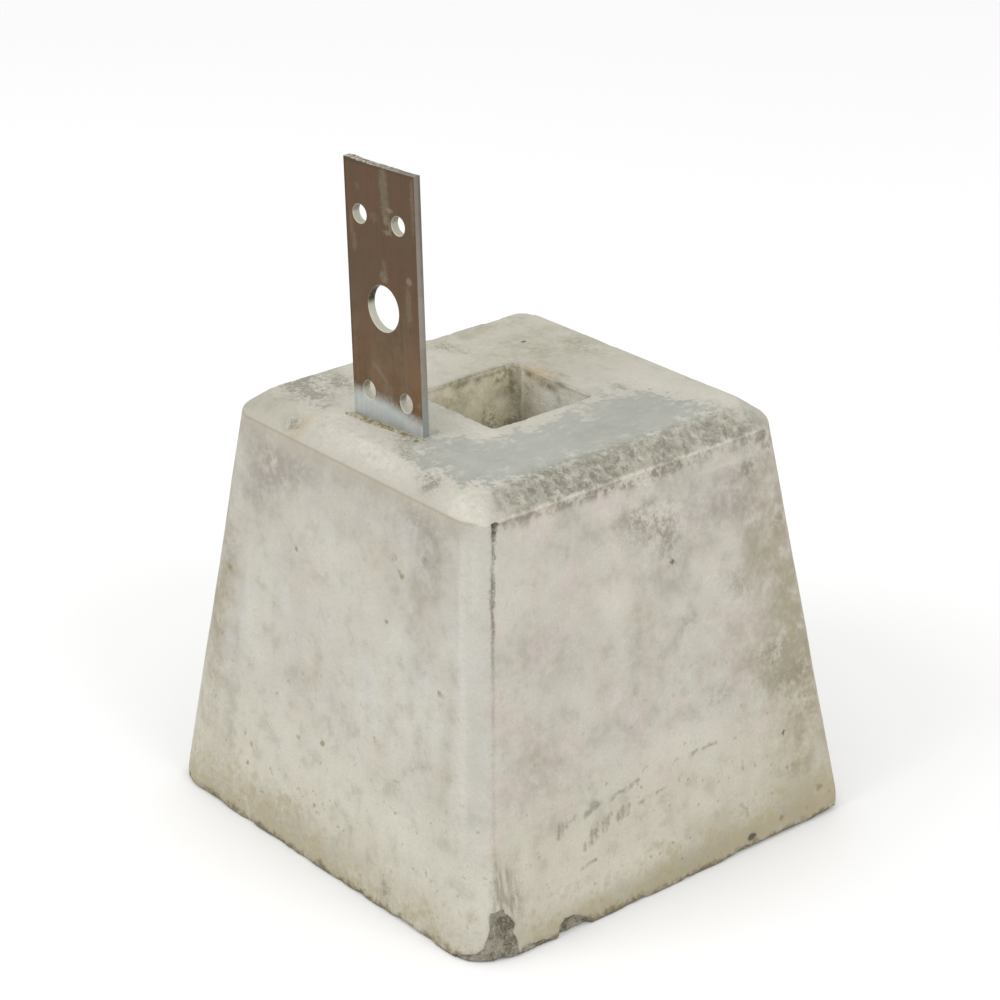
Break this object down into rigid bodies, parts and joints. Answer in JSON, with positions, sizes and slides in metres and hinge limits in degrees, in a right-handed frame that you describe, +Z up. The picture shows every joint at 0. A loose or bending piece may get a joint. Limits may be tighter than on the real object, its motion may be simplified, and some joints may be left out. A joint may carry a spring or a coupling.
{
  "type": "column base block",
  "caption": "Tapered square block of cast concrete with a bevelled top, a square mortise and a flat steel strap set upright in it, punched for nails and a bolt.",
  "frame": {"origin": "centre of the underside, on the ground", "axes": "+Z up; -Y is the side that the strap stands near, so the strap's broad faces look roughly along -Y and +Y; +X is the side with the broken corner and the scoop in its lower edge"},
  "size_m": [0.1734, 0.1708, 0.2388],
  "materials": {
    "concrete": "matte",
    "galvanised_steel": "satin"
  },
  "bodies": {
    "root": {"concrete_block": "concrete", "strap_plate": "galvanised_steel"}
  },
  "joints": []
}
